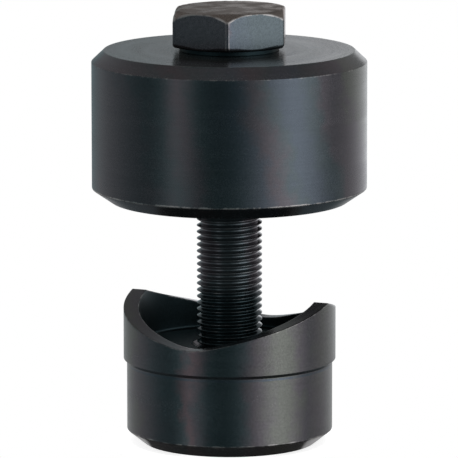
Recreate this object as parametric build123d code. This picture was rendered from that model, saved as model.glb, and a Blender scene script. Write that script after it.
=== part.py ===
from build123d import *
import math
import os

# Knockout punch for round holes in sheet metal, in millimetres.
# It stands on the foot of its punch. The origin is on the tool's axis at that foot, and +Z runs up the bolt.
# The punch's two cutting peaks lie on one diameter, turned from +X as the tool stands in the photograph.

# Draw bolt
thread_diameter = 10.0
thread_pitch = 1.0
bolt_length = 55.0
head_across_flats = 16.9
head_height = 5.6
head_flat_diameter = 16.6
head_chamfer_angle = 40.0
head_turn = -1.7
washer_face_diameter = 15.2
washer_face_height = 0.9
neck_turns = 2

# Punch
hole_diameter = 32.5
punch_relief = 0.5
foot_height = 12.45
foot_chamfer_width = 2.5
foot_chamfer_height = 2.0
valley_height = 16.7
peak_rise = 5.75
valley_roundness = 0.11
peak_turn = -22.7
cup_wall = 2.35
cup_floor_height = 15.1
cup_corner_radius = 0.6
thread_play = 0.05
tapped_hole_countersink = 0.6

# Die
die_wall = 4.65
die_height = 23.05
opening_gap = 15.0
cut_clearance = 0.1
cutting_land = 5.0
cavity_relief = 0.4
cavity_depth = 15.0
cavity_corner_chamfer = 1.0
top_chamfer_width = 1.85
top_chamfer_height = 1.75
mouth_ring_width = 1.8
mouth_chamfer_height = 1.95
bolt_hole_play = 0.25
bolt_hole_chamfer = 0.4

# Sizes that follow from the ones above
land_radius = hole_diameter / 2
foot_radius = land_radius - punch_relief
cup_radius = land_radius - cup_wall
peak_height = valley_height + peak_rise
shank_radius = thread_diameter / 2
thread_root_radius = shank_radius - 0.61 * thread_pitch
tapped_radius = shank_radius + thread_play
die_mouth_height = peak_height + opening_gap
die_top_height = die_mouth_height + die_height
cutting_radius = land_radius + cut_clearance
cavity_radius = cutting_radius + cavity_relief
die_radius = cutting_radius + die_wall
bolt_hole_radius = shank_radius + bolt_hole_play
tip_height = die_top_height - bolt_length
head_bottom_height = die_top_height + washer_face_height
head_top_height = head_bottom_height + head_height


def turned(outline):
    """A solid turned about the tool's axis from a half section of (radius, height) points."""
    section = make_face(Plane.XZ * Polyline(*outline, close=True))
    return revolve(section, Axis.Z)


def ring_edge(solid, radius, height):
    """The circular edge of a turned solid that has this radius and lies at this height."""
    rings = solid.edges().filter_by(GeomType.CIRCLE)
    return rings.sort_by(lambda ring: abs(ring.radius - radius) + abs(ring.center().Z - height))[0]


def rim_height(angle):
    """Height of the punch's rim, by the angle from the middle of a valley in degrees.

    The rim climbs evenly with the angle, is rounded in the valley, and two climbs meet in a sharp peak.
    """
    share = angle / 90
    climb = math.hypot(share, valley_roundness) - valley_roundness
    full_climb = math.hypot(1, valley_roundness) - valley_roundness
    return valley_height + peak_rise * climb / full_climb


def rim_curve(radius, overrun, steps=12):
    """Line that the rim follows at one radius, from just past one peak through a valley to the other."""
    reach = 90 + overrun
    angles = [reach * (2 * step / steps - 1) for step in range(steps + 1)]
    points = []
    for angle in angles:
        turn = math.radians(angle)
        points.append((radius * math.cos(turn), radius * math.sin(turn), rim_height(angle)))
    return Edge.make_spline(points, parameters=[step / steps for step in range(steps + 1)])


def rim_cutter(valley_turn):
    """Everything above one valley of the rim: level from the bore to the outside at each angle."""
    inside = rim_curve(cup_radius / 2, overrun=4)
    outside = rim_curve(land_radius * 1.2, overrun=4)
    ramp = Face.make_surface_from_curves(inside, outside)
    return Rot(0, 0, valley_turn) * Solid.extrude(ramp, Vector(0, 0, 2 * peak_rise))


def punch():
    """Cup-shaped punch: a relieved foot, a full-size land with two cutting peaks, and a tapped centre."""
    blank_top = peak_height + punch_relief
    land_bottom = foot_height + punch_relief
    body = turned([
        (0, 0),
        (foot_radius - foot_chamfer_width, 0),
        (foot_radius, foot_chamfer_height),
        (foot_radius, foot_height),
        (land_radius, land_bottom),
        (land_radius, blank_top),
        (cup_radius, blank_top),
        (cup_radius, cup_floor_height),
        (0, cup_floor_height),
    ])
    body = fillet(ring_edge(body, cup_radius, cup_floor_height), cup_corner_radius)
    for valley_turn in (peak_turn - 90, peak_turn + 90):
        body -= rim_cutter(valley_turn)
    body -= Cylinder(tapped_radius, 3 * cup_floor_height)
    for height in (0, cup_floor_height):
        body = chamfer(ring_edge(body, tapped_radius, height), tapped_hole_countersink)
    return body


def die():
    """Round die with a deep cavity that takes the punch, and a clearance hole for the bolt."""
    top = die_top_height
    mouth = die_mouth_height
    ceiling = mouth + cavity_depth
    body = turned([
        (bolt_hole_radius, top),
        (die_radius - top_chamfer_width, top),
        (die_radius, top - top_chamfer_height),
        (die_radius, mouth + mouth_chamfer_height),
        (cutting_radius + mouth_ring_width, mouth),
        (cutting_radius, mouth),
        (cutting_radius, mouth + cutting_land),
        (cavity_radius, mouth + cutting_land + cavity_relief),
        (cavity_radius, ceiling),
        (bolt_hole_radius, ceiling),
    ])
    body = chamfer(ring_edge(body, cavity_radius, ceiling), cavity_corner_chamfer)
    for height in (ceiling, top):
        body = chamfer(ring_edge(body, bolt_hole_radius, height), bolt_hole_chamfer)
    return body


def hexagon_head():
    """Spanner hexagon whose top corners are turned off to a cone."""
    hexagon = RegularPolygon(head_across_flats / 2, 6, major_radius=False, rotation=30 + head_turn)
    block = Pos(0, 0, head_bottom_height) * extrude(hexagon, head_height)
    corner_radius = head_across_flats / math.sqrt(3)
    flat_radius = head_flat_diameter / 2
    reach = 1.1 * corner_radius
    drop = (reach - flat_radius) * math.tan(math.radians(head_chamfer_angle))
    envelope = turned([
        (0, head_bottom_height - head_height),
        (reach, head_bottom_height - head_height),
        (reach, head_top_height - drop),
        (flat_radius, head_top_height),
        (0, head_top_height),
    ])
    return block & envelope


def draw_bolt():
    """Fine-thread bolt, threaded all along: hexagon, washer face, undercut neck and chamfered tip."""
    chamfer_height = shank_radius - thread_root_radius
    neck_end = die_top_height - neck_turns * thread_pitch
    shank = turned([
        (0, tip_height),
        (thread_root_radius, tip_height),
        (shank_radius, tip_height + chamfer_height),
        (shank_radius, neck_end - chamfer_height),
        (thread_root_radius, neck_end),
        (thread_root_radius, die_top_height),
        (washer_face_diameter / 2, die_top_height),
        (washer_face_diameter / 2, head_bottom_height),
        (0, head_bottom_height),
    ])
    return shank + hexagon_head()


def main():
    os.makedirs("parts", exist_ok=True)
    pieces = {"punch": punch(), "die": die(), "draw_bolt": draw_bolt()}
    for name, piece in pieces.items():
        export_step(piece, f"parts/{name}.step")


if __name__ == "__main__":
    main()
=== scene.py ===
import math

import bmesh
import bpy
from bpy.props import FloatProperty, FloatVectorProperty, IntProperty, PointerProperty
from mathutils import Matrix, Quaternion, Vector


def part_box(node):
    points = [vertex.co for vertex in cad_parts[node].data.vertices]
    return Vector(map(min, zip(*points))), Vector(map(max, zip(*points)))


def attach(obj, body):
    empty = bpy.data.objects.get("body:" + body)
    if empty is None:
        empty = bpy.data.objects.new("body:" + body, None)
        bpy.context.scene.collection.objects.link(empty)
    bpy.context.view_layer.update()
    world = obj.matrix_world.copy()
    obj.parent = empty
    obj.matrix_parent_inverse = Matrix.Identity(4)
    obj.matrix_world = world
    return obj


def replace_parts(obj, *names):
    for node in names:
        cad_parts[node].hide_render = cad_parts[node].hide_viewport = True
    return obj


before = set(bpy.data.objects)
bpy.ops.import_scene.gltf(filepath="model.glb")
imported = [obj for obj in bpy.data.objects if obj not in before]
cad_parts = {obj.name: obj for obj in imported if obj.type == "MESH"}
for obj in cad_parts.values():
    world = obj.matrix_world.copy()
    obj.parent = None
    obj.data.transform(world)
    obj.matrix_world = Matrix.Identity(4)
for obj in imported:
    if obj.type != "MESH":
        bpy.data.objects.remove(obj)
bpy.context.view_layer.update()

bl_info = {
    "name": "Knockout Punch",
    "version": (1, 0, 0),
    "blender": (4, 5, 0),
    "location": "View3D > Sidebar > Knockout Punch",
    "description": "Builds the shown pieces of a knockout punch round its CAD frame",
    "category": "Add Mesh",
}

MM = 0.001
# Width in millimetres that the row of an oxide film's colours covers.
FILM_SPAN = 50
_, punch_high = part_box("punch")
die_low, die_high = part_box("die")
bolt_low, bolt_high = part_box("draw_bolt")


def length(name, description, default):
    """A distance that the panel shows in the scene's own unit."""
    return FloatProperty(name=name, description=description, default=default,
                         min=0, precision=5, subtype="DISTANCE", unit="LENGTH")


def turn(name, description, default):
    """An angle about the tool's axis, kept in radians."""
    return FloatProperty(name=name, description=description, default=math.radians(default),
                         subtype="ANGLE", unit="ROTATION")


def colour(name, description, default):
    """A colour that is written as the surface's own, in linear light."""
    return FloatVectorProperty(name=name, description=description, default=default,
                               min=0, max=1, size=3, subtype="COLOR")


def share(name, description, default):
    """A plain number from 0 to 1."""
    return FloatProperty(name=name, description=description, default=default,
                         min=0, max=1, subtype="FACTOR")


class DieSizes(bpy.types.PropertyGroup):
    """Sizes of the round die."""
    radius: length("Outer radius", "Outside of the die", die_high.x)
    mouth_height: length("Mouth height", "Face that meets the sheet metal", die_low.z)
    top_height: length("Top height", "Face that the bolt's head presses on", die_high.z)
    top_chamfer_width: length("Top chamfer width", "How far the top chamfer runs in", 1.85 * MM)
    top_chamfer_height: length("Top chamfer height", "How far the top chamfer runs down", 1.75 * MM)
    mouth_radius: length("Mouth ring radius", "Outer edge of the flat mouth ring", 18.15 * MM)
    mouth_chamfer_height: length("Mouth chamfer height", "Height of the lower chamfer", 1.95 * MM)
    cutting_radius: length("Cutting radius", "Bore of the cutting edge", 16.35 * MM)
    cutting_land: length("Cutting land", "Height of the full-size bore", 5 * MM)
    cavity_radius: length("Cavity radius", "Relieved bore above the land", 16.75 * MM)
    cavity_depth: length("Cavity depth", "From the mouth to the inner ceiling", 15 * MM)
    bolt_hole_radius: length("Bolt hole radius", "Clearance hole in the die's top", 5.25 * MM)
    columns: IntProperty(name="Columns", description="Faces round the die", default=288, min=48)


class PunchSizes(bpy.types.PropertyGroup):
    """Sizes of the cup-shaped punch."""
    land_radius: length("Land radius", "Full-size part that cuts the hole", punch_high.x)
    peak_height: length("Peak height", "Top of the two cutting peaks", 22.45 * MM)
    valley_height: length("Valley height", "Lowest point of the rim", 16.7 * MM)
    valley_roundness: share("Valley roundness", "How softly the rim turns in a valley", 0.11)
    peak_turn: turn("Peak turn", "Where the first peak stands, from +X", -22.7)
    relief: length("Relief", "How much slimmer the foot is than the land", 0.5 * MM)
    foot_height: length("Foot height", "Height of the relieved foot", 12.45 * MM)
    foot_chamfer_width: length("Foot chamfer width", "How far the foot's chamfer runs in", 2.5 * MM)
    foot_chamfer_height: length("Foot chamfer height", "Height of the foot's chamfer", 2 * MM)
    cup_radius: length("Cup radius", "Inside of the cup", 13.9 * MM)
    cup_floor: length("Cup floor", "Height of the cup's floor", 15.1 * MM)
    tapped_radius: length("Tapped radius", "Outer radius of the inner thread", 5.05 * MM)
    tapped_crest: length("Thread crest radius", "Innermost radius of the inner thread", 4.46 * MM)
    countersink: length("Countersink", "Chamfer at both ends of the tapped hole", 0.6 * MM)


class BoltSizes(bpy.types.PropertyGroup):
    """Sizes of the draw bolt."""
    thread_radius: length("Thread radius", "Crest of the thread", 5 * MM)
    root_radius: length("Root radius", "Bottom of the thread's groove", 4.4 * MM)
    pitch: length("Pitch", "Rise of the thread in one turn", 1 * MM)
    thread_phase: length("Thread phase", "Height of a crest on the +X side, past a whole pitch", 0.98 * MM)
    tip_height: length("Tip height", "Lower end of the bolt", bolt_low.z)
    neck_end: length("Neck end", "Where the thread runs out below the head", 58.5 * MM)
    seat_height: length("Seat height", "Where the washer face rests on the die", die_high.z)
    washer_radius: length("Washer face radius", "Round face under the hexagon", 7.6 * MM)
    washer_height: length("Washer face height", "Height of that face", 0.7 * MM)
    across_flats: length("Across flats", "Width of the hexagon", 16.9 * MM)
    head_top: length("Head top", "Upper face of the hexagon", bolt_high.z)
    flat_radius: length("Top flat radius", "Where the forged top starts to fall", 6.6 * MM)
    shoulder_slope: FloatProperty(name="Shoulder slope", description="Fall of the turned-off corners",
                                  default=0.6, min=0)
    lower_slope: share("Lower slope", "Rise of the hexagon's lower face towards its corners", 0.18)
    lean: share("Lean", "Slope by which the forged top falls towards its left side", 0.018)
    full_corner: share("Full corner", "How much less one corner of the forging is turned off", 0.55)
    full_corner_turn: turn("Full corner turn", "Where that corner stands, from +X", 28.3)
    corner_turn: turn("Corner turn", "Where one corner of the hexagon stands, from +X", -91.7)
    corner_radius: length("Corner radius", "Rounding of the hexagon's upright edges", 0.45 * MM)
    edge_radius: length("Edge radius", "Rounding of the hexagon's upper edges", 0.2 * MM)
    blunt_edge_radius: length("Blunt edge radius", "Rounding of the upper edge that is bluntest", 1.4 * MM)
    blunt_turn: turn("Blunt edge turn", "Where that edge stands, from +X", 178.3)
    lower_edge_radius: length("Lower edge radius", "Rounding of the hexagon's lower edges", 0.6 * MM)
    columns: IntProperty(name="Columns", description="Faces in one turn of thread", default=72, min=24)


class Finish(bpy.types.PropertyGroup):
    """Colours of the black oxide finish and of the stage."""
    cool: colour("Cool oxide", "Blue-green parts of the oxide film", (0.073, 0.088, 0.094))
    blue: colour("Blue oxide", "Blue parts of the oxide film", (0.074, 0.087, 0.102))
    violet: colour("Violet oxide", "Violet parts of the oxide film", (0.094, 0.086, 0.094))
    olive: colour("Olive oxide", "Olive parts of the oxide film", (0.100, 0.103, 0.092))
    russet: colour("Russet oxide", "Red-brown parts of the oxide film", (0.120, 0.092, 0.098))
    # Painted shade: this dark colour stands in for the shade in the cup, under the head and on the thread
    # inside the cup.
    recess_shade: colour("Recess oxide", "Dark film in the cup and under the head", (0.021, 0.035, 0.039))
    forged: colour("Forged skin", "Brown-grey skin on top of the head", (0.172, 0.145, 0.128))
    bare: colour("Bare steel", "Where edges have rubbed through", (0.37, 0.352, 0.338))
    edge_wear: share("Edge wear", "How much of the edges is rubbed through", 0.5)
    floor: colour("Floor", "Pale floor", (0.86, 0.86, 0.86))


class Studio(bpy.types.PropertyGroup):
    """Where the camera stands, and the lamp's power."""
    lens: FloatProperty(name="Lens", description="Focal length in millimetres", default=445.3, min=10)
    camera_place: FloatVectorProperty(name="Camera place", description="Where the camera stands",
                                      default=(-0.00007, -0.8538, 0.17898), size=3,
                                      subtype="TRANSLATION", unit="LENGTH")
    aim: FloatVectorProperty(name="Aim", description="Point that the camera looks at",
                             default=(-0.00007, 0, 0.03284), size=3,
                             subtype="TRANSLATION", unit="LENGTH")
    roll: turn("Roll", "Tilt of the camera about its line of sight", -0.063)
    lamp_power: FloatProperty(name="Lamp power", description="Power of the soft lamp overhead",
                              default=2.2, min=0, unit="POWER")


def around(radius, angle, height):
    """The point at this radius, angle and height about the tool's axis."""
    return radius * math.cos(angle), radius * math.sin(angle), height


def rounded(corners, steps=4, hold=0.3 * MM):
    """Section points from (radius, height, rounding, wear) corners of a closed outline."""
    points = []
    for index, (radius, height, rounding, wear) in enumerate(corners):
        if rounding == 0:
            points.append((radius, height, wear))
            continue
        here = Vector((radius, height))
        back = Vector(corners[index - 1][:2]) - here
        ahead = Vector(corners[(index + 1) % len(corners)][:2]) - here
        room = 0.45 * min(back.length, ahead.length)
        half = back.angle(ahead) / 2
        back.normalize()
        ahead.normalize()
        run = rounding / math.tan(half)
        if run > room:
            run = room
            rounding = run * math.tan(half)
        centre = here + (back + ahead).normalized() * rounding / math.sin(half)
        first = here + back * run - centre
        last = here + ahead * run - centre
        lead = min(hold, max(room - run, 0.02 * MM))
        points.append((*(here + back * (run + lead)), 0))
        for step in range(steps + 1):
            spoke = first.lerp(last, step / steps).normalized() * rounding
            points.append((*(centre + spoke), wear))
        points.append((*(here + ahead * (run + lead)), 0))
    return points


def revolved(sections):
    """Mesh of closed sections that stand round the axis; each is (angle, points)."""
    bm = bmesh.new()
    wear = bm.verts.layers.float.new("wear")
    rows = []
    for angle, points in sections:
        row = []
        for radius, height, worn in points:
            vertex = bm.verts.new(around(radius, angle, height))
            vertex[wear] = worn
            row.append(vertex)
        rows.append(row)
    for index, row in enumerate(rows):
        beside = rows[(index + 1) % len(rows)]
        for place in range(len(row)):
            above = (place + 1) % len(row)
            bm.faces.new((row[place], beside[place], beside[above], row[above]))
    return bm


def add_piece(name, bm, body, material):
    """Turns a mesh into a named, smoothly shaded piece that rides on a body."""
    bmesh.ops.recalc_face_normals(bm, faces=bm.faces)
    for face in bm.faces:
        face.smooth = True
    mesh = bpy.data.meshes.new(name)
    bm.to_mesh(mesh)
    bm.free()
    mesh.materials.append(material)
    piece = bpy.data.objects.new(name, mesh)
    bpy.context.scene.collection.objects.link(piece)
    shading = piece.modifiers.new("Even shading", "WEIGHTED_NORMAL")
    shading.keep_sharp = True
    shading.weight = 60
    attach(piece, body)
    return piece


class Shader:
    """Short ways to add and join the nodes of one material or world."""

    def __init__(self, tree):
        self.tree = tree
        tree.nodes.clear()

    def node(self, kind, inputs=(), **settings):
        """A node with these settings; each of its inputs is given a value or another node's output."""
        made = self.tree.nodes.new(kind)
        for name, value in settings.items():
            setattr(made, name, value)
        for socket, value in dict(inputs).items():
            if isinstance(value, bpy.types.NodeSocket):
                self.tree.links.new(value, made.inputs[socket])
            else:
                made.inputs[socket].default_value = value
        return made

    def math(self, operation, first, second=0.0, clamp=False):
        """The result of one operation on two values; clamp keeps it from 0 to 1."""
        made = self.node("ShaderNodeMath", {0: first, 1: second}, operation=operation, use_clamp=clamp)
        return made.outputs[0]

    def vector(self, operation, first, second=(0, 0, 0)):
        """The result of one operation on two vectors."""
        return self.node("ShaderNodeVectorMath", {0: first, 1: second}, operation=operation).outputs[0]

    def mix(self, factor, first, second):
        """The first colour where the factor is 0, and the second where it is 1."""
        made = self.node("ShaderNodeMix", {"Factor": factor, 6: first, 7: second}, data_type="RGBA")
        return made.outputs[2]

    def spread(self, value, low, high, to_low=0.0, to_high=1.0):
        """A smooth step from to_low to to_high, while the value runs from low to high."""
        inputs = {"Value": value, "From Min": low, "From Max": high, "To Min": to_low, "To Max": to_high}
        return self.node("ShaderNodeMapRange", inputs, interpolation_type="SMOOTHSTEP").outputs["Result"]

    def ramp(self, value, stops):
        """Colours along a value from 0 to 1; the stops are (value, colour)."""
        made = self.node("ShaderNodeValToRGB", {"Fac": value})
        marks = made.color_ramp.elements
        for index, (place, tint) in enumerate(stops):
            mark = marks[index] if index < 2 else marks.new(place)
            mark.position = place
            mark.color = (*tint, 1)
        return made.outputs["Color"]

    def noise(self, vector, scale, detail=3.0, roughness=0.5, fourth=None):
        """Noise over the vector, or over the vector and a fourth value."""
        inputs = {"Vector": vector, "Scale": scale, "Detail": detail, "Roughness": roughness}
        if fourth is None:
            return self.node("ShaderNodeTexNoise", inputs).outputs["Fac"]
        inputs["W"] = fourth
        return self.node("ShaderNodeTexNoise", inputs, noise_dimensions="4D").outputs["Fac"]


def oxide(name, roughness, film, grooves=0.8, depth=1.0, grain=1.0, matt=0.06, skin=0.0, seed=0.0,
          slant=(0, 0), blooms=(), recess_shade=None):
    """Black oxide over turned steel: drifting film colours, turning marks, specks and rubbed edges.

    The film is a row of (X in millimetres, colour); a slant (slope, height) tilts it about that height.
    A bloom (lowest, highest, colour, share) tints one height.
    A recess_shade (inner radius, outer radius, lowest, highest, fade, added roughness) is painted shade:
    there the film colour is darkened to stand in for the shade, and the roughness changes.
    Grooves, depth and grain scale the turning marks, the film's brightness and the specks.
    Matt is the share that scatters light, and skin the share of forged skin where the mesh has it.
    """
    finish = bpy.context.scene.knockout_finish
    material = bpy.data.materials.new(name)
    material.use_nodes = True
    sh = Shader(material.node_tree)
    place = sh.node("ShaderNodeTexCoord").outputs["Object"]
    shifted = sh.vector("ADD", place, (seed, 0.7 * seed, 0))
    parts = sh.node("ShaderNodeSeparateXYZ", {0: place}).outputs
    flat = sh.node("ShaderNodeCombineXYZ", {0: parts["X"], 1: parts["Y"]}).outputs[0]
    radius = sh.node("ShaderNodeVectorMath", {0: flat}, operation="LENGTH").outputs["Value"]

    def turned_noise(round_scale, scale, detail):
        """Noise in rings, as turning leaves: it changes fast up the axis and outwards, slowly round it."""
        rings = sh.node("ShaderNodeCombineXYZ", {
            0: sh.math("MULTIPLY", parts["X"], round_scale),
            1: sh.math("MULTIPLY", parts["Y"], round_scale),
            2: sh.math("MULTIPLY", parts["Z"], scale),
        }).outputs[0]
        return sh.noise(rings, 1.0, detail, 0.6, fourth=sh.math("MULTIPLY", radius, scale))

    marks = turned_noise(55.0, 4200.0, 2.0)
    bands = turned_noise(30.0, 420.0, 3.0)
    patches = sh.noise(shifted, 60.0, 2.0, 0.5)
    blotches = sh.noise(shifted, 420.0, 4.0, 0.6)
    specks = sh.noise(shifted, 4000.0, 2.0, 0.7)

    # The row of film colours lies across X. Two noises push it to and fro about its place.
    drift, fine_drift = 0.2, 0.12
    stray = sh.math("ADD", sh.math("MULTIPLY", patches, drift), sh.math("MULTIPLY", blotches, fine_drift))
    across = sh.math("ADD", sh.math("MULTIPLY", parts["X"], 1 / (FILM_SPAN * MM)), stray)
    slope, middle = slant
    above = sh.math("SUBTRACT", parts["Z"], middle)
    across = sh.math("ADD", across, sh.math("MULTIPLY", above, slope / (FILM_SPAN * MM)))
    across = sh.math("ADD", across, 0.5 - (drift + fine_drift) / 2)
    base = sh.ramp(across, [(x / FILM_SPAN + 0.5, getattr(finish, tint)) for x, tint in film])
    for lowest, highest, tint, amount in blooms:
        within = sh.math("MULTIPLY", sh.spread(parts["Z"], lowest, lowest + 0.1 * MM),
                         sh.spread(parts["Z"], highest, highest - 0.1 * MM))
        within = sh.math("MULTIPLY", within, sh.spread(blotches, 0.3, 0.6, 0.4 * amount, amount))
        base = sh.mix(within, base, (*getattr(finish, tint), 1))
    if skin:
        layer = sh.node("ShaderNodeAttribute", attribute_name="skin").outputs["Fac"]
        base = sh.mix(sh.math("MULTIPLY", layer, skin), base, (*finish.forged, 1))
    tone = sh.math("ADD", sh.spread(bands, 0.3, 0.7, 0.97 * depth, 1.03 * depth),
                   sh.spread(specks, 0.33, 0.67, -0.12 * grain, 0.12 * grain))
    tone = sh.math("ADD", tone, sh.spread(marks, 0.25, 0.75, -0.05 * grooves, 0.05 * grooves))
    # Painted shade: inside the recess the film colour is darkened to stand in for the shade that falls
    # there.
    if recess_shade:
        inner, outer, lowest, highest, fade, rougher = recess_shade
        inside = sh.math("MULTIPLY", sh.spread(radius, inner, inner + 0.05 * MM),
                         sh.spread(radius, outer + 0.1 * MM, outer + 0.03 * MM))
        inside = sh.math("MULTIPLY", inside, sh.spread(parts["Z"], lowest, lowest + 0.05 * MM))
        inside = sh.math("MULTIPLY", inside, sh.spread(parts["Z"], highest, highest - fade))
        base = sh.mix(inside, base, (*finish.recess_shade, 1))
    tinted = sh.node("ShaderNodeVectorMath", {0: base, "Scale": tone}, operation="SCALE").outputs[0]

    wear = sh.node("ShaderNodeAttribute", attribute_name="wear").outputs["Fac"]
    rub = sh.spread(sh.noise(shifted, 620.0, 5.0, 0.7), 0.34, 0.66, 0.5, 1.45)
    reach = sh.math("MULTIPLY", wear, rub)
    limit = 1.05 - 0.5 * finish.edge_wear
    rubbed = sh.spread(reach, limit - 0.4, limit + 0.35)
    painted = sh.mix(rubbed, tinted, (*finish.bare, 1))

    rough = sh.math("ADD", roughness, sh.spread(bands, 0.25, 0.75, -0.035, 0.05))
    rough = sh.math("ADD", rough, sh.spread(specks, 0.2, 0.8, -0.05, 0.06))
    if skin:
        mottle = sh.spread(sh.noise(shifted, 330.0, 3.0, 0.55), 0.4, 0.64, 0.0, 0.16)
        rough = sh.math("ADD", rough, sh.math("MULTIPLY", layer, mottle))
    if recess_shade:
        rough = sh.math("ADD", rough, sh.math("MULTIPLY", inside, rougher))
    rough = sh.math("ADD", rough, sh.math("MULTIPLY", rubbed, 0.06), clamp=True)

    relief = sh.math("ADD", sh.math("MULTIPLY", marks, grooves), sh.math("MULTIPLY", specks, 0.5))
    bump = sh.node("ShaderNodeBump", {"Strength": 0.35, "Distance": 0.012 * MM, "Height": relief}).outputs[0]
    surface = sh.node("ShaderNodeBsdfPrincipled", {
        "Base Color": painted, "Metallic": 1.0 - matt, "Roughness": rough, "Normal": bump,
    })
    sh.node("ShaderNodeOutputMaterial", {"Surface": surface.outputs[0]})
    return material


class KNOCKOUT_OT_die(bpy.types.Operator):
    """Build the round die with its cavity and chamfers"""
    bl_idname = "knockout.die"
    bl_label = "Die"

    def execute(self, context):
        size = context.scene.knockout_die
        top = size.top_height
        mouth = size.mouth_height
        ceiling = mouth + size.cavity_depth
        relief = size.cavity_radius - size.cutting_radius
        hole = size.bolt_hole_radius
        sink = 0.4 * MM
        section = rounded([
            (hole + sink, top, 0.05 * MM, 0.3),
            (size.radius - size.top_chamfer_width, top, 0.12 * MM, 0.45),
            (size.radius, top - size.top_chamfer_height, 0.15 * MM, 0.5),
            (size.radius, mouth + size.mouth_chamfer_height, 0.18 * MM, 0.95),
            (size.mouth_radius, mouth, 0.12 * MM, 0.3),
            (size.cutting_radius, mouth, 0.04 * MM, 0.8),
            (size.cutting_radius, mouth + size.cutting_land, 0.05 * MM, 0.2),
            (size.cavity_radius, mouth + size.cutting_land + relief, 0.05 * MM, 0),
            (size.cavity_radius, ceiling, 1.0 * MM, 0),
            (hole + sink, ceiling, 0.05 * MM, 0.3),
            (hole, ceiling - sink, 0.05 * MM, 0),
            (hole, top - sink, 0.05 * MM, 0),
        ])
        angles = [2 * math.pi * step / size.columns for step in range(size.columns)]
        bm = revolved([(angle, section) for angle in angles])
        film = (
            (-23, "russet"), (-20, "violet"), (-15, "violet"), (-11, "cool"), (-7.5, "violet"),
            (-4.5, "cool"), (2.5, "blue"), (5, "violet"), (7.5, "cool"), (9, "blue"), (11, "blue"),
            (14, "cool"), (16.5, "violet"), (19, "violet"), (21, "olive"),
        )
        chamfer = (top - size.top_chamfer_height, top - 0.1 * MM, "russet", 0.25)
        face = (top - 0.1 * MM, top + 1 * MM, "olive", 0.6)
        slant = (0.25, (mouth + top) / 2)
        material = oxide("Die oxide", 0.22, film, grain=0.8, seed=0.13, slant=slant, blooms=[chamfer, face])
        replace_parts(add_piece("die_body", bm, "die", material), "die")
        return {"FINISHED"}


def rim_height(size, angle):
    """Height of the punch's rim, by the angle from the nearest peak in radians."""
    away = abs((angle + math.pi / 2) % math.pi - math.pi / 2)
    rise = 1 - away / (math.pi / 2)
    soft = size.valley_roundness
    climb = (math.hypot(rise, soft) - soft) / (math.hypot(1, soft) - soft)
    return size.valley_height + (size.peak_height - size.valley_height) * climb


class KNOCKOUT_OT_punch(bpy.types.Operator):
    """Build the cup-shaped punch with its two cutting peaks"""
    bl_idname = "knockout.punch"
    bl_label = "Punch"

    def execute(self, context):
        size = context.scene.knockout_punch
        land = size.land_radius
        foot = land - size.relief
        bore = size.tapped_radius
        sink = size.countersink
        steps = [0, 0.25, 0.6, 1.2, 2.2, 3.6, *[5 + 1.25 * step for step in range(69)]]
        quarter = [math.radians(step) for step in steps]
        offsets = quarter + [math.pi - step for step in reversed(quarter[1:-1])]
        offsets += [math.pi + step for step in offsets]
        sections = []
        for offset in offsets:
            rim = rim_height(size, offset)
            sections.append((size.peak_turn + offset, rounded([
                (bore + sink, 0, 0.05 * MM, 0.3),
                (foot - size.foot_chamfer_width, 0, 0.15 * MM, 0.2),
                (foot, size.foot_chamfer_height, 0.2 * MM, 0.8),
                (foot, size.foot_height, 0.02 * MM, 0),
                (land, size.foot_height + size.relief, 0.05 * MM, 0.2),
                (land, rim, 0.07 * MM, 0.6),
                (size.cup_radius, rim, 0.09 * MM, 0.7),
                (size.cup_radius, size.cup_floor, 0.35 * MM, 0),
                (bore + sink, size.cup_floor, 0.05 * MM, 0.8),
                (bore, size.cup_floor - sink, 0.05 * MM, 0.2),
                (bore, sink, 0.05 * MM, 0.2),
            ])))
        bm = revolved(sections)
        film = (
            (-16, "olive"), (-13.5, "violet"), (-7.3, "cool"), (-5.8, "russet"), (-4.5, "violet"),
            (-2.5, "cool"), (1, "cool"), (3.5, "violet"), (7, "olive"), (9, "olive"), (11.5, "violet"),
            (16, "olive"),
        )
        under_step = (size.foot_height - 0.5 * MM, size.foot_height - 0.05 * MM, "blue", 1.0)
        # Painted shade in the punch's cup: its wall and floor are darkened.
        cup = (6 * MM, size.cup_radius, 1 * MM, size.peak_height + 1 * MM, 0.05 * MM, 0.18)
        material = oxide("Punch oxide", 0.19, film, depth=1.1, grain=1.4, seed=0.37, blooms=[under_step],
                         recess_shade=cup)
        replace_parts(add_piece("punch_body", bm, "punch", material), "punch")
        return {"FINISHED"}


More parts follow.
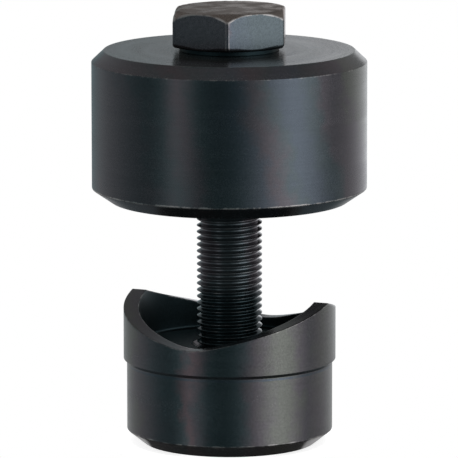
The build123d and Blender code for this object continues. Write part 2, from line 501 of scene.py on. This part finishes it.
class KNOCKOUT_OT_punch_thread(bpy.types.Operator):
    """Build the thread inside the punch's tapped hole"""
    bl_idname = "knockout.punch_thread"
    bl_label = "Inner thread"

    def execute(self, context):
        size = context.scene.knockout_punch
        bolt = context.scene.knockout_bolt
        pitch = bolt.pitch
        crest = size.tapped_crest
        buried = 0.07 * MM
        wall = size.tapped_radius + buried
        half_crest = 0.1 * pitch
        half_base = half_crest + (wall - crest) * math.tan(math.radians(30))
        low = 0.3 * size.countersink
        high = size.cup_floor - low
        start = low + half_base
        # The ridge lies half a pitch from the bolt's crest, on the same helix.
        phase = bolt.thread_phase + 0.5 * pitch
        start += (phase - start) % pitch
        turns = int((high - half_base - start) / pitch)
        columns = bolt.columns
        bm = bmesh.new()
        wear = bm.verts.layers.float.new("wear")
        rows = []
        last = turns * columns
        for step in range(last + 1):
            angle = 2 * math.pi * step / columns
            middle = start + pitch * step / columns
            inset = min(middle, size.cup_floor - middle)
            cone = size.tapped_radius + size.countersink - inset
            taper = min(1, 0.06 + 3 * min(step, last - step) / columns)
            tip = wall - (wall - max(crest, cone if cone < wall else wall - 0.03 * MM)) * taper
            row = []
            for radius, offset, worn in (
                (wall, -half_base, 0),
                (tip, -half_crest - (tip - crest) * 0.4, 0.5),
                (tip, half_crest + (tip - crest) * 0.4, 0.5),
                (wall, half_base, 0),
            ):
                vertex = bm.verts.new(around(radius, angle, middle + offset))
                vertex[wear] = worn
                row.append(vertex)
            rows.append(row)
        for row, beside in zip(rows, rows[1:]):
            for place in range(4):
                bm.faces.new((row[place], beside[place], beside[place - 3], row[place - 3]))
        bm.faces.new(rows[0])
        bm.faces.new(rows[-1])
        film = ((-5, "cool"), (5, "violet"))
        material = oxide("Inner thread oxide", 0.3, film, grooves=0.3, seed=0.71)
        add_piece("punch_thread", bm, "punch", material)
        return {"FINISHED"}


class KNOCKOUT_OT_bolt_shank(bpy.types.Operator):
    """Build the bolt's shank with its cut thread, chamfered tip and undercut neck"""
    bl_idname = "knockout.bolt_shank"
    bl_label = "Bolt shank"

    # Share of the pitch and of the thread's depth, from one groove to the next.
    groove_to_groove = (
        (0, 0), (0.06, 0.005), (0.11, 0.04), (0.15, 0.12), (0.41, 0.9), (0.445, 0.985),
        (0.5, 1), (0.555, 0.985), (0.59, 0.9), (0.85, 0.12), (0.89, 0.04), (0.94, 0.005),
    )

    def execute(self, context):
        size = context.scene.knockout_bolt
        pitch = size.pitch
        columns = size.columns
        root = size.root_radius
        depth = size.thread_radius - root
        tip = size.tip_height
        start = tip + 0.05 * MM
        start += (size.thread_phase + 0.5 * pitch - start) % pitch
        turns = int((size.neck_end + 0.1 * MM - start) / pitch)
        last = turns * columns
        last_place = len(self.groove_to_groove)
        bm = bmesh.new()
        wear = bm.verts.layers.float.new("wear")

        def add(radius, angle, height, worn=0.0):
            vertex = bm.verts.new(around(radius, angle, height))
            vertex[wear] = worn
            return vertex

        def thread_vertex(step, place):
            share_up, share_out = self.groove_to_groove[place] if place < last_place else (1, 0)
            height = start + pitch * (step / columns + share_up)
            fade = min(1, 0.03 + 5 * step / columns, 0.03 + 2.5 * (last - step) / columns)
            out = root + depth * share_out * fade
            out = min(out, root + max(height - tip, 0))
            return add(out, 2 * math.pi * step / columns, height, 0.45 if share_out > 0.9 else 0)

        grid = [[thread_vertex(step, place) for place in range(last_place)] for step in range(last + 1)]
        edge = [grid[last][0]]
        edge += [thread_vertex(step, last_place) for step in range(last - columns + 1, last + 1)]
        for step in range(last):
            here, beside = grid[step], grid[step + 1]
            for place in range(last_place - 1):
                bm.faces.new((here[place], beside[place], beside[place + 1], here[place + 1]))
            if step < last - columns:
                over, over_beside = grid[step + columns][0], grid[step + columns + 1][0]
            else:
                over, over_beside = edge[step - last + columns], edge[step - last + columns + 1]
            bm.faces.new((here[-1], beside[-1], over_beside, over))

        def ring(radius, height, worn=0.0):
            return [add(radius, 2 * math.pi * step / columns, height, worn) for step in range(columns)]

        def join(lower, upper):
            for step in range(columns):
                after = (step + 1) % columns
                bm.faces.new((lower[step], lower[after], upper[after], upper[step]))

        tip_ring = ring(root, tip, 0.6)
        tip_face = ring(root - 0.25 * MM, tip)
        join(tip_face, tip_ring)
        bm.faces.new(reversed(tip_face))
        for step in range(columns):
            bm.faces.new((tip_ring[step], tip_ring[(step + 1) % columns], grid[step + 1][0], grid[step][0]))
        bm.faces.new([tip_ring[0], *grid[0], grid[columns][0]])
        neck = ring(root, size.neck_end + 0.35 * MM)
        for step in range(columns):
            bm.faces.new((edge[step], edge[step + 1], neck[(step + 1) % columns], neck[step]))
        bm.faces.new([neck[0], edge[columns], *reversed(grid[last])])
        neck_top = ring(root, size.seat_height + 0.6 * MM)
        join(neck, neck_top)
        bm.faces.new(neck_top)
        film = ((-5, "violet"), (-3, "cool"), (2, "cool"), (3.5, "violet"), (5, "violet"))
        # Painted shade on the thread where it stands in the punch's cup, fading out towards the top.
        material = oxide("Thread oxide", 0.17, film, grooves=0.2, depth=1.4, matt=0.2, seed=0.53,
                         recess_shade=(0, 6 * MM, 0, 26 * MM, 4 * MM, -0.04))
        add_piece("bolt_shank", bm, "draw_bolt", material)
        return {"FINISHED"}


class KNOCKOUT_OT_bolt_head(bpy.types.Operator):
    """Build the forged hexagon head with its turned-off corners and washer face"""
    bl_idname = "knockout.bolt_head"
    bl_label = "Bolt head"

    def execute(self, context):
        size = context.scene.knockout_bolt
        half_width = size.across_flats / 2
        corner = half_width / math.cos(math.radians(30))
        soft = size.corner_radius
        centre = corner - soft / math.sin(math.radians(60))
        tangent = math.atan2(soft / 2, centre + soft * math.cos(math.radians(30)))
        under = size.seat_height + size.washer_height
        top = size.head_top

        def reach(away):
            """How far out a side of the hexagon stands, by the angle from its corner."""
            if abs(away) < tangent:
                return centre * math.cos(away) + math.sqrt(soft ** 2 - (centre * math.sin(away)) ** 2)
            return half_width / math.cos(math.radians(30) - abs(away))

        def crown(radius, angle):
            """How far the forged top has dropped at this radius: a slight dome, then a steep shoulder."""
            dome = min(max(radius - size.flat_radius, 0) / (half_width - size.flat_radius), 1)
            past = max(radius - half_width, 0)
            drop = 0.06 * MM * dome ** 1.5 + size.shoulder_slope * past + 0.23 * past * past / MM
            turned = math.cos(angle - size.full_corner_turn)
            lean = size.lean * max(-radius * math.cos(angle), 0)
            return lean + drop * (1 - size.full_corner * max(turned, 0) ** 6)

        def edge_rounding(angle):
            """Rounding of the upper edge, which is bluntest on one side of the forging."""
            blunt = max(math.cos(angle - size.blunt_turn), 0) ** 10
            across = max(-math.cos(angle - size.blunt_turn), 0) ** 10
            return size.edge_radius * (1 + across) + (size.blunt_edge_radius - size.edge_radius) * blunt

        half = [0, tangent / 2, tangent]
        half += [math.radians(step) for step in (2.9, 4.2, 6, 8.5, 11, 14, 17, 20, 23, 26.5, 30)]
        offsets = [-step for step in reversed(half[1:-1])] + half
        bm = bmesh.new()
        wear = bm.verts.layers.float.new("wear")
        skin = bm.verts.layers.float.new("skin")
        rows = []
        for side in range(6):
            for offset in offsets:
                angle = size.corner_turn + side * math.pi / 3 + offset
                out = reach(offset)
                soft_edge = edge_rounding(angle)
                brink = out - soft_edge
                edge_height = top - crown(out, angle) - soft_edge
                upright = 0
                if abs(abs(offset) - tangent) < 0.001:
                    upright = 0.35 if side else 0.85
                inner = 5.6 * MM
                rings = [0.5 * MM, 3 * MM, 5 * MM]
                rings += [inner + (brink - inner) * part for part in (0.35, 0.6, 0.8, 0.93, 1)]
                outline = [(radius, top - crown(radius, angle), 0) for radius in rings]
                worn_edge = max(0.9, min(1, size.edge_radius / soft_edge))
                for degrees in (68, 45, 22, 0):
                    tilt = math.radians(degrees)
                    radius = brink + soft_edge * math.cos(tilt)
                    height = top - crown(radius, angle) - soft_edge * (1 - math.sin(tilt))
                    outline.append((radius, height, worn_edge if degrees else 0.6 * worn_edge))
                outline.append((out, edge_height - 0.2 * MM, 0))
                brim = under + size.lower_slope * (out - half_width)
                outline += rounded([
                    (out, edge_height - 0.2 * MM, 0, 0),
                    (out, brim, size.lower_edge_radius, 0.35),
                    (size.washer_radius, under, 0.04 * MM, 0),
                    (size.washer_radius, size.seat_height, 0.06 * MM, 0),
                    (0.5 * MM, size.seat_height, 0, 0),
                ], steps=3, hold=0.1 * MM)[1:]
                row = []
                for radius, height, worn in outline:
                    vertex = bm.verts.new(around(radius, angle, height))
                    on_side = under + 0.05 * MM < height < edge_height + 0.3 * soft_edge
                    vertex[wear] = max(worn, upright if on_side and radius > brink else 0)
                    vertex[skin] = 1.0 if height > edge_height + 0.5 * soft_edge else 0.0
                    row.append(vertex)
                rows.append(row)
        for index, row in enumerate(rows):
            beside = rows[(index + 1) % len(rows)]
            for here, there, there_next, here_next in zip(row, beside, beside[1:], row[1:]):
                bm.faces.new((here, there, there_next, here_next))
        for place, height in ((0, top), (-1, size.seat_height)):
            middle = bm.verts.new((0, 0, height))
            middle[skin] = 1.0 if place == 0 else 0.0
            for index, row in enumerate(rows):
                bm.faces.new((row[place], rows[(index + 1) % len(rows)][place], middle))
        # Painted shade under the hexagon: the washer face is darkened.
        washer = (0, size.washer_radius, size.seat_height - 1 * MM, under + 0.05 * MM, 0.05 * MM, 0.18)
        film = ((-8, "violet"), (-1, "violet"), (0, "blue"), (3, "cool"))
        material = oxide("Forged oxide", 0.26, film, grooves=0.1, depth=1.3, grain=2.1, matt=0.0,
                         skin=0.85, seed=0.91, recess_shade=washer)
        tint = material.node_tree.nodes["Principled BSDF"].inputs["Specular Tint"]
        tint.default_value = (0.92, 0.85, 0.81, 1)
        piece = add_piece("bolt_head", bm, "draw_bolt", material)
        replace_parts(piece, "draw_bolt")
        return {"FINISHED"}


class KNOCKOUT_OT_stage(bpy.types.Operator):
    """Add the camera, the studio light and the pale floor"""
    bl_idname = "knockout.stage"
    bl_label = "Stage"

    # How bright the room is that the steel mirrors, level with the tool and above it. The direction is in
    # degrees, from the camera's side to the right.
    level_light = (
        (-180, 0.4), (-165, 0.25), (-150, 0.3), (-133, 0.4), (-112, 0.34), (-95, 0.26), (-80, 0.18),
        (-68, 0.15), (-57, 0.27), (-46, 0.65), (-35, 0.42), (-25, 0.16), (-14, 0.1), (-4, 0.1),
        (6, 0.16), (16, 0.33), (27, 0.63), (38, 1.15), (50, 1.68), (60, 1.72), (72, 1.3), (84, 0.7),
        (97, 0.42), (113, 0.57), (135, 0.9), (154, 1.04), (180, 0.95),
    )
    upper_light = (
        (-180, 0.2), (-160, 0.25), (-140, 0.36), (-100, 0.22), (-58, 0.2), (-46, 0.9), (-34, 0.2),
        (0, 0.12), (28, 0.6), (50, 1.9), (78, 1.6), (105, 0.45), (140, 0.48), (160, 0.3), (180, 0.22),
    )

    def band(self, sh, turned, lights, tinted=1):
        """Light round the tool; its dim parts are tinted blue-green."""
        stops = []
        for degrees, level in lights:
            dim = tinted * max(0, 1 - level / 0.5)
            light = (level * (0.98 - 0.5 * dim), level, level * (1.04 + 0.05 * dim))
            stops.append((degrees / 360 + 0.5, light))
        return sh.ramp(turned, stops)

    def add_world(self, scene):
        """The room that the steel mirrors, behind a white background that the camera sees."""
        world = bpy.data.worlds.new("Studio")
        scene.world = world
        world.use_nodes = True
        sh = Shader(world.node_tree)
        towards = sh.node("ShaderNodeTexCoord").outputs["Generated"]
        parts = sh.node("ShaderNodeSeparateXYZ", {0: towards}).outputs
        bearing = sh.math("ARCTAN2", parts["X"], sh.math("MULTIPLY", parts["Y"], -1.0))
        turned = sh.math("ADD", sh.math("DIVIDE", bearing, 2 * math.pi), 0.5)
        # The die's upright side mirrors the level light, and the top faces mirror the upper light.
        # The punch stands lower in the picture and so mirrors a little further down, where it is brighter
        # on the far right and grey behind. Chamfers that face down mirror the dark ground of the room.
        level = self.band(sh, turned, self.level_light)
        upper = self.band(sh, turned, self.upper_light, 0.12)
        overhead = sh.mix(sh.spread(parts["Z"], 0.35, 0.95), upper, (0.26, 0.26, 0.26, 1))
        wider = sh.spread(parts["X"], 0.9, 0.985, 1.0, 1.35)
        low = sh.node("ShaderNodeVectorMath", {0: level, "Scale": wider}, operation="SCALE").outputs[0]
        low = sh.mix(sh.spread(parts["Y"], -0.1, 0.6), low, (0.46, 0.47, 0.48, 1))
        level = sh.mix(sh.spread(parts["Z"], -0.165, -0.19), level, low)
        seen = sh.mix(sh.spread(parts["Z"], 0.13, 0.2), level, overhead)
        seen = sh.mix(sh.spread(parts["Z"], -0.26, -0.5), seen, (0.09, 0.11, 0.12, 1))
        rays = sh.node("ShaderNodeLightPath").outputs
        direct = sh.math("MAXIMUM", rays["Is Camera Ray"], rays["Is Transmission Ray"])
        mirrored = sh.node("ShaderNodeBackground", {"Color": seen, "Strength": 1.0}).outputs[0]
        white = sh.node("ShaderNodeBackground", {"Color": (1, 1, 1, 1), "Strength": 1.0}).outputs[0]
        plain = sh.node("ShaderNodeBackground", {"Color": (0.5, 0.5, 0.5, 1), "Strength": 1.0}).outputs[0]
        lit = sh.node("ShaderNodeMixShader", {0: rays["Is Glossy Ray"], 1: plain, 2: mirrored}).outputs[0]
        shown = sh.node("ShaderNodeMixShader", {0: direct, 1: lit, 2: white}).outputs[0]
        sh.node("ShaderNodeOutputWorld", {"Surface": shown})

    def add_floor(self, scene):
        """A small pale disc under the tool, which takes its shadow."""
        bm = bmesh.new()
        bmesh.ops.create_circle(bm, cap_ends=True, segments=96, radius=30 * MM)
        bmesh.ops.translate(bm, verts=bm.verts, vec=(0, 5 * MM, -0.02 * MM))
        mesh = bpy.data.meshes.new("floor")
        bm.to_mesh(mesh)
        bm.free()
        floor = bpy.data.objects.new("floor", mesh)
        scene.collection.objects.link(floor)
        material = bpy.data.materials.new("Pale floor")
        material.use_nodes = True
        sh = Shader(material.node_tree)
        rays = sh.node("ShaderNodeLightPath").outputs
        place = sh.node("ShaderNodeTexCoord").outputs["Object"]
        away = sh.node("ShaderNodeVectorMath", {0: place}, operation="LENGTH").outputs["Value"]
        parts = sh.node("ShaderNodeSeparateXYZ", {0: place}).outputs
        mirrored = sh.math("MAXIMUM", rays["Is Glossy Ray"], rays["Is Transmission Ray"])
        # For mirrored rays the floor glows with painted light and shade, which the foot's chamfer mirrors:
        # dark in front, brighter towards the back, and a painted shadow under the foot.
        # Past the foot, steel mirrors the background instead.
        backwards = sh.math("ADD", parts["Y"], sh.math("MULTIPLY", parts["X"], 0.08))
        dim = sh.spread(backwards, -7.2 * MM, -6 * MM, 0.06, 0.6)
        outside = sh.spread(away, 12.8 * MM, 13.4 * MM)
        dim = sh.spread(outside, 0.0, 1.0, 0.08, dim)
        painted_floor_shade = sh.node("ShaderNodeEmission", {"Color": (1, 1, 1, 1), "Strength": dim}).outputs[0]
        clear = sh.node("ShaderNodeBsdfTransparent").outputs[0]
        past = sh.spread(away, 15.5 * MM, 17.5 * MM)
        reflected = sh.node("ShaderNodeMixShader", {0: past, 1: painted_floor_shade, 2: clear}).outputs[0]
        matt = sh.node("ShaderNodeBsdfDiffuse", {"Color": (*scene.knockout_finish.floor, 1)}).outputs[0]
        white = sh.math("MULTIPLY", rays["Is Camera Ray"], 0.8)
        glow = sh.node("ShaderNodeEmission", {"Color": (1, 1, 1, 1), "Strength": white}).outputs[0]
        lit = sh.node("ShaderNodeAddShader", {0: matt, 1: glow}).outputs[0]
        both = sh.node("ShaderNodeMixShader", {0: mirrored, 1: lit, 2: reflected}).outputs[0]
        # It is clear from below, past its shadow, and where a ray through it would pass close to the axis,
        # so that the foot and a lowered bolt can be seen.
        geometry = sh.node("ShaderNodeNewGeometry").outputs
        sight = sh.vector("NORMALIZE", sh.vector("MULTIPLY", geometry["Incoming"], (1, 1, 0)))
        crossed = sh.node("ShaderNodeSeparateXYZ", {0: sh.vector("CROSS_PRODUCT", place, sight)}).outputs
        beside = sh.math("ABSOLUTE", crossed["Z"])
        open_to = sh.math("MAXIMUM", sh.spread(away, 15.5 * MM, 20 * MM), sh.spread(beside, 9 * MM, 6 * MM))
        hidden = sh.math("MULTIPLY", rays["Is Camera Ray"], open_to)
        hidden = sh.math("MAXIMUM", geometry["Backfacing"], hidden)
        seen = sh.node("ShaderNodeMixShader", {0: hidden, 1: both, 2: clear}).outputs[0]
        sh.node("ShaderNodeOutputMaterial", {"Surface": seen})
        mesh.materials.append(material)

    def add_camera(self, scene):
        """The photo's own view."""
        studio = scene.knockout_studio
        data = bpy.data.cameras.new("Camera")
        data.lens = studio.lens
        data.sensor_width = 36
        data.sensor_fit = "HORIZONTAL"
        data.clip_start = 0.01
        camera = bpy.data.objects.new("Camera", data)
        scene.collection.objects.link(camera)
        camera.location = studio.camera_place
        aim = Vector(studio.aim) - Vector(studio.camera_place)
        level = aim.to_track_quat("-Z", "Y")
        camera.rotation_euler = (level @ Quaternion((0, 0, 1), studio.roll)).to_euler()
        scene.camera = camera

    def add_lamp(self, scene):
        """A large soft lamp overhead, which the steel doesn't mirror. It gives the floor a soft shadow."""
        data = bpy.data.lights.new("Soft lamp", "AREA")
        data.shape = "DISK"
        data.size = 0.5
        data.energy = scene.knockout_studio.lamp_power
        lamp = bpy.data.objects.new("Soft lamp", data)
        lamp.location = (0.08, -0.15, 0.6)
        lamp.rotation_euler = (-lamp.location).to_track_quat("-Z", "Y").to_euler()
        lamp.visible_camera = False
        lamp.visible_glossy = False
        scene.collection.objects.link(lamp)

    def execute(self, context):
        scene = context.scene
        self.add_world(scene)
        self.add_floor(scene)
        self.add_camera(scene)
        self.add_lamp(scene)
        scene.view_settings.view_transform = "Standard"
        return {"FINISHED"}


class KNOCKOUT_PT_panel(bpy.types.Panel):
    """Lists the pieces of the tool in the sidebar"""
    bl_idname = "KNOCKOUT_PT_panel"
    bl_label = "Knockout Punch"
    bl_space_type = "VIEW_3D"
    bl_region_type = "UI"
    bl_category = "Knockout Punch"

    def draw(self, context):
        column = self.layout.column()
        for operator in PIECES:
            column.operator(operator.bl_idname)


PIECES = (
    KNOCKOUT_OT_die,
    KNOCKOUT_OT_punch,
    KNOCKOUT_OT_punch_thread,
    KNOCKOUT_OT_bolt_shank,
    KNOCKOUT_OT_bolt_head,
    KNOCKOUT_OT_stage,
)
GROUPS = {
    "knockout_die": DieSizes,
    "knockout_punch": PunchSizes,
    "knockout_bolt": BoltSizes,
    "knockout_finish": Finish,
    "knockout_studio": Studio,
}


def register():
    for name, group in GROUPS.items():
        bpy.utils.register_class(group)
        setattr(bpy.types.Scene, name, PointerProperty(type=group))
    for operator in PIECES:
        bpy.utils.register_class(operator)
    bpy.utils.register_class(KNOCKOUT_PT_panel)


def unregister():
    bpy.utils.unregister_class(KNOCKOUT_PT_panel)
    for operator in reversed(PIECES):
        bpy.utils.unregister_class(operator)
    for name, group in GROUPS.items():
        delattr(bpy.types.Scene, name)
        bpy.utils.unregister_class(group)


def main():
    register()
    bpy.ops.knockout.die()
    bpy.ops.knockout.punch()
    bpy.ops.knockout.punch_thread()
    bpy.ops.knockout.bolt_shank()
    bpy.ops.knockout.bolt_head()
    bpy.ops.knockout.stage()


if __name__ == "__main__":
    main()
